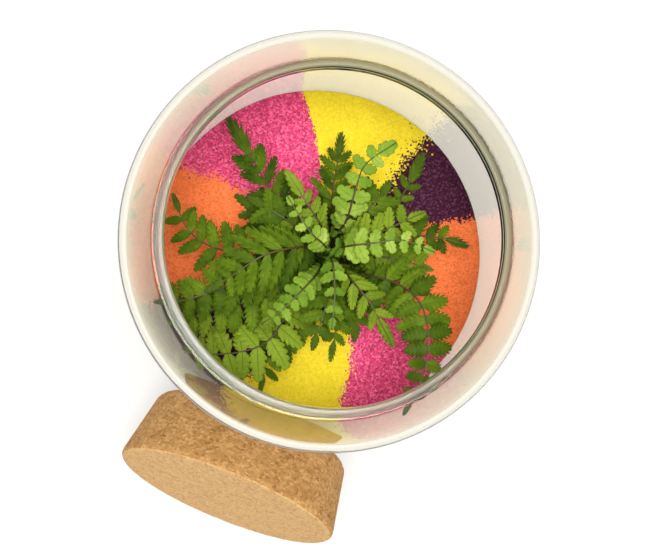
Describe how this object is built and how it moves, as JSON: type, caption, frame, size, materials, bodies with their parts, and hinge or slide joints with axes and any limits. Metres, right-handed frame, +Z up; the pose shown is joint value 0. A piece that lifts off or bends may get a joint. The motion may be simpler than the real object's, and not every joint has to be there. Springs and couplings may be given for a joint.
{
  "type": "glass plant terrarium",
  "caption": "Fern growing in a wide-mouthed glass jar over wedges of coloured sand, with a cork stopper leaning on the jar.",
  "frame": {"origin": "centre of the jar's flat bottom, on the jar's axis", "axes": "+Z up along the jar's axis; the cork stopper leans on the jar's -Y side, turned towards -X"},
  "size_m": [0.1438, 0.1916, 0.1887],
  "materials": {
    "glass": "clear, faint warm tint",
    "sand_orange": "loose dyed sand",
    "sand_purple": "loose dyed sand",
    "sand_yellow": "loose dyed sand",
    "sand_pink": "loose dyed sand",
    "soil": "damp potting soil",
    "foliage": "living leaf, slight gloss",
    "young_foliage": "young living leaf",
    "cork": "pressed cork, unfinished"
  },
  "bodies": {
    "root": {"jar": "glass", "sand_orange_a": "sand_orange", "sand_purple_a": "sand_purple", "sand_yellow_a": "sand_yellow", "sand_pink_a": "sand_pink", "sand_orange_b": "sand_orange", "sand_purple_b": "sand_purple", "sand_yellow_b": "sand_yellow", "sand_pink_b": "sand_pink", "frond_right_low": "foliage", "frond_upper_right": "foliage", "frond_top": "foliage", "frond_upper_left_low": "foliage", "frond_left": "foliage", "frond_lower_left_low": "foliage", "frond_bottom_low": "foliage", "frond_bottom_right_low": "foliage", "frond_right_lower": "foliage", "frond_top_right": "foliage", "frond_top_left": "foliage", "frond_lower_left": "foliage", "frond_lower_left_mid": "foliage", "frond_bottom_right": "foliage", "frond_bottom": "foliage", "frond_top_round": "young_foliage", "frond_right_mid": "foliage", "frond_bottom_mid": "foliage", "frond_left_high": "foliage", "frond_upper_left": "foliage", "frond_right_small": "foliage", "frond_top_small": "foliage", "frond_right_upper": "foliage", "frond_lower_left_high": "young_foliage", "frond_young_top": "young_foliage", "frond_young_right": "young_foliage", "frond_young_bottom": "young_foliage", "soil_core": "soil", "cork_stopper": "cork"}
  },
  "joints": []
}
